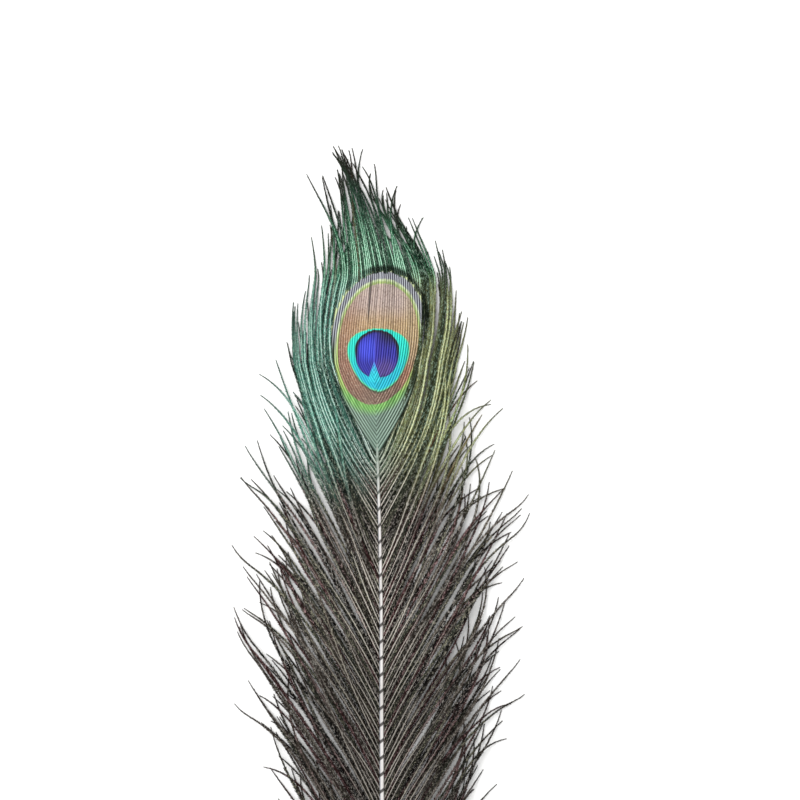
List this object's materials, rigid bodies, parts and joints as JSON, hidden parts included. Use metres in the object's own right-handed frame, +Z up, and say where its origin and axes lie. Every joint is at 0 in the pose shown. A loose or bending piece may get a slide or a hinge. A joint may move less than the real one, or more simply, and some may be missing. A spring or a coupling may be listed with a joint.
{
  "type": "peacock feather",
  "caption": "Peacock train feather lying face up: a tapering ivory shaft, loose dark barbs along both sides, and a closed egg-shaped vane with a blue and bronze eye under a leaning fringe.",
  "frame": {"origin": "on the flat underside of the shaft, halfway along the feather's length", "axes": "+Y along the shaft towards the feather's tip, +Z up out of the face that carries the eye, +X to the right when looking down on the face with the tip away from you"},
  "size_m": [0.1099, 0.4001, 0.0087],
  "materials": {
    "barbs": "matte dark brown-black herl with a soft sheen, as loose fibres with fine barbules",
    "eye": "satin iridescent barbs lying side by side: violet-blue heart, turquoise ring, bronze field and green rim",
    "shaft": "smooth ivory-white keratin, slightly glossy"
  },
  "bodies": {
    "root": {"feather": "barbs"}
  },
  "joints": []
}
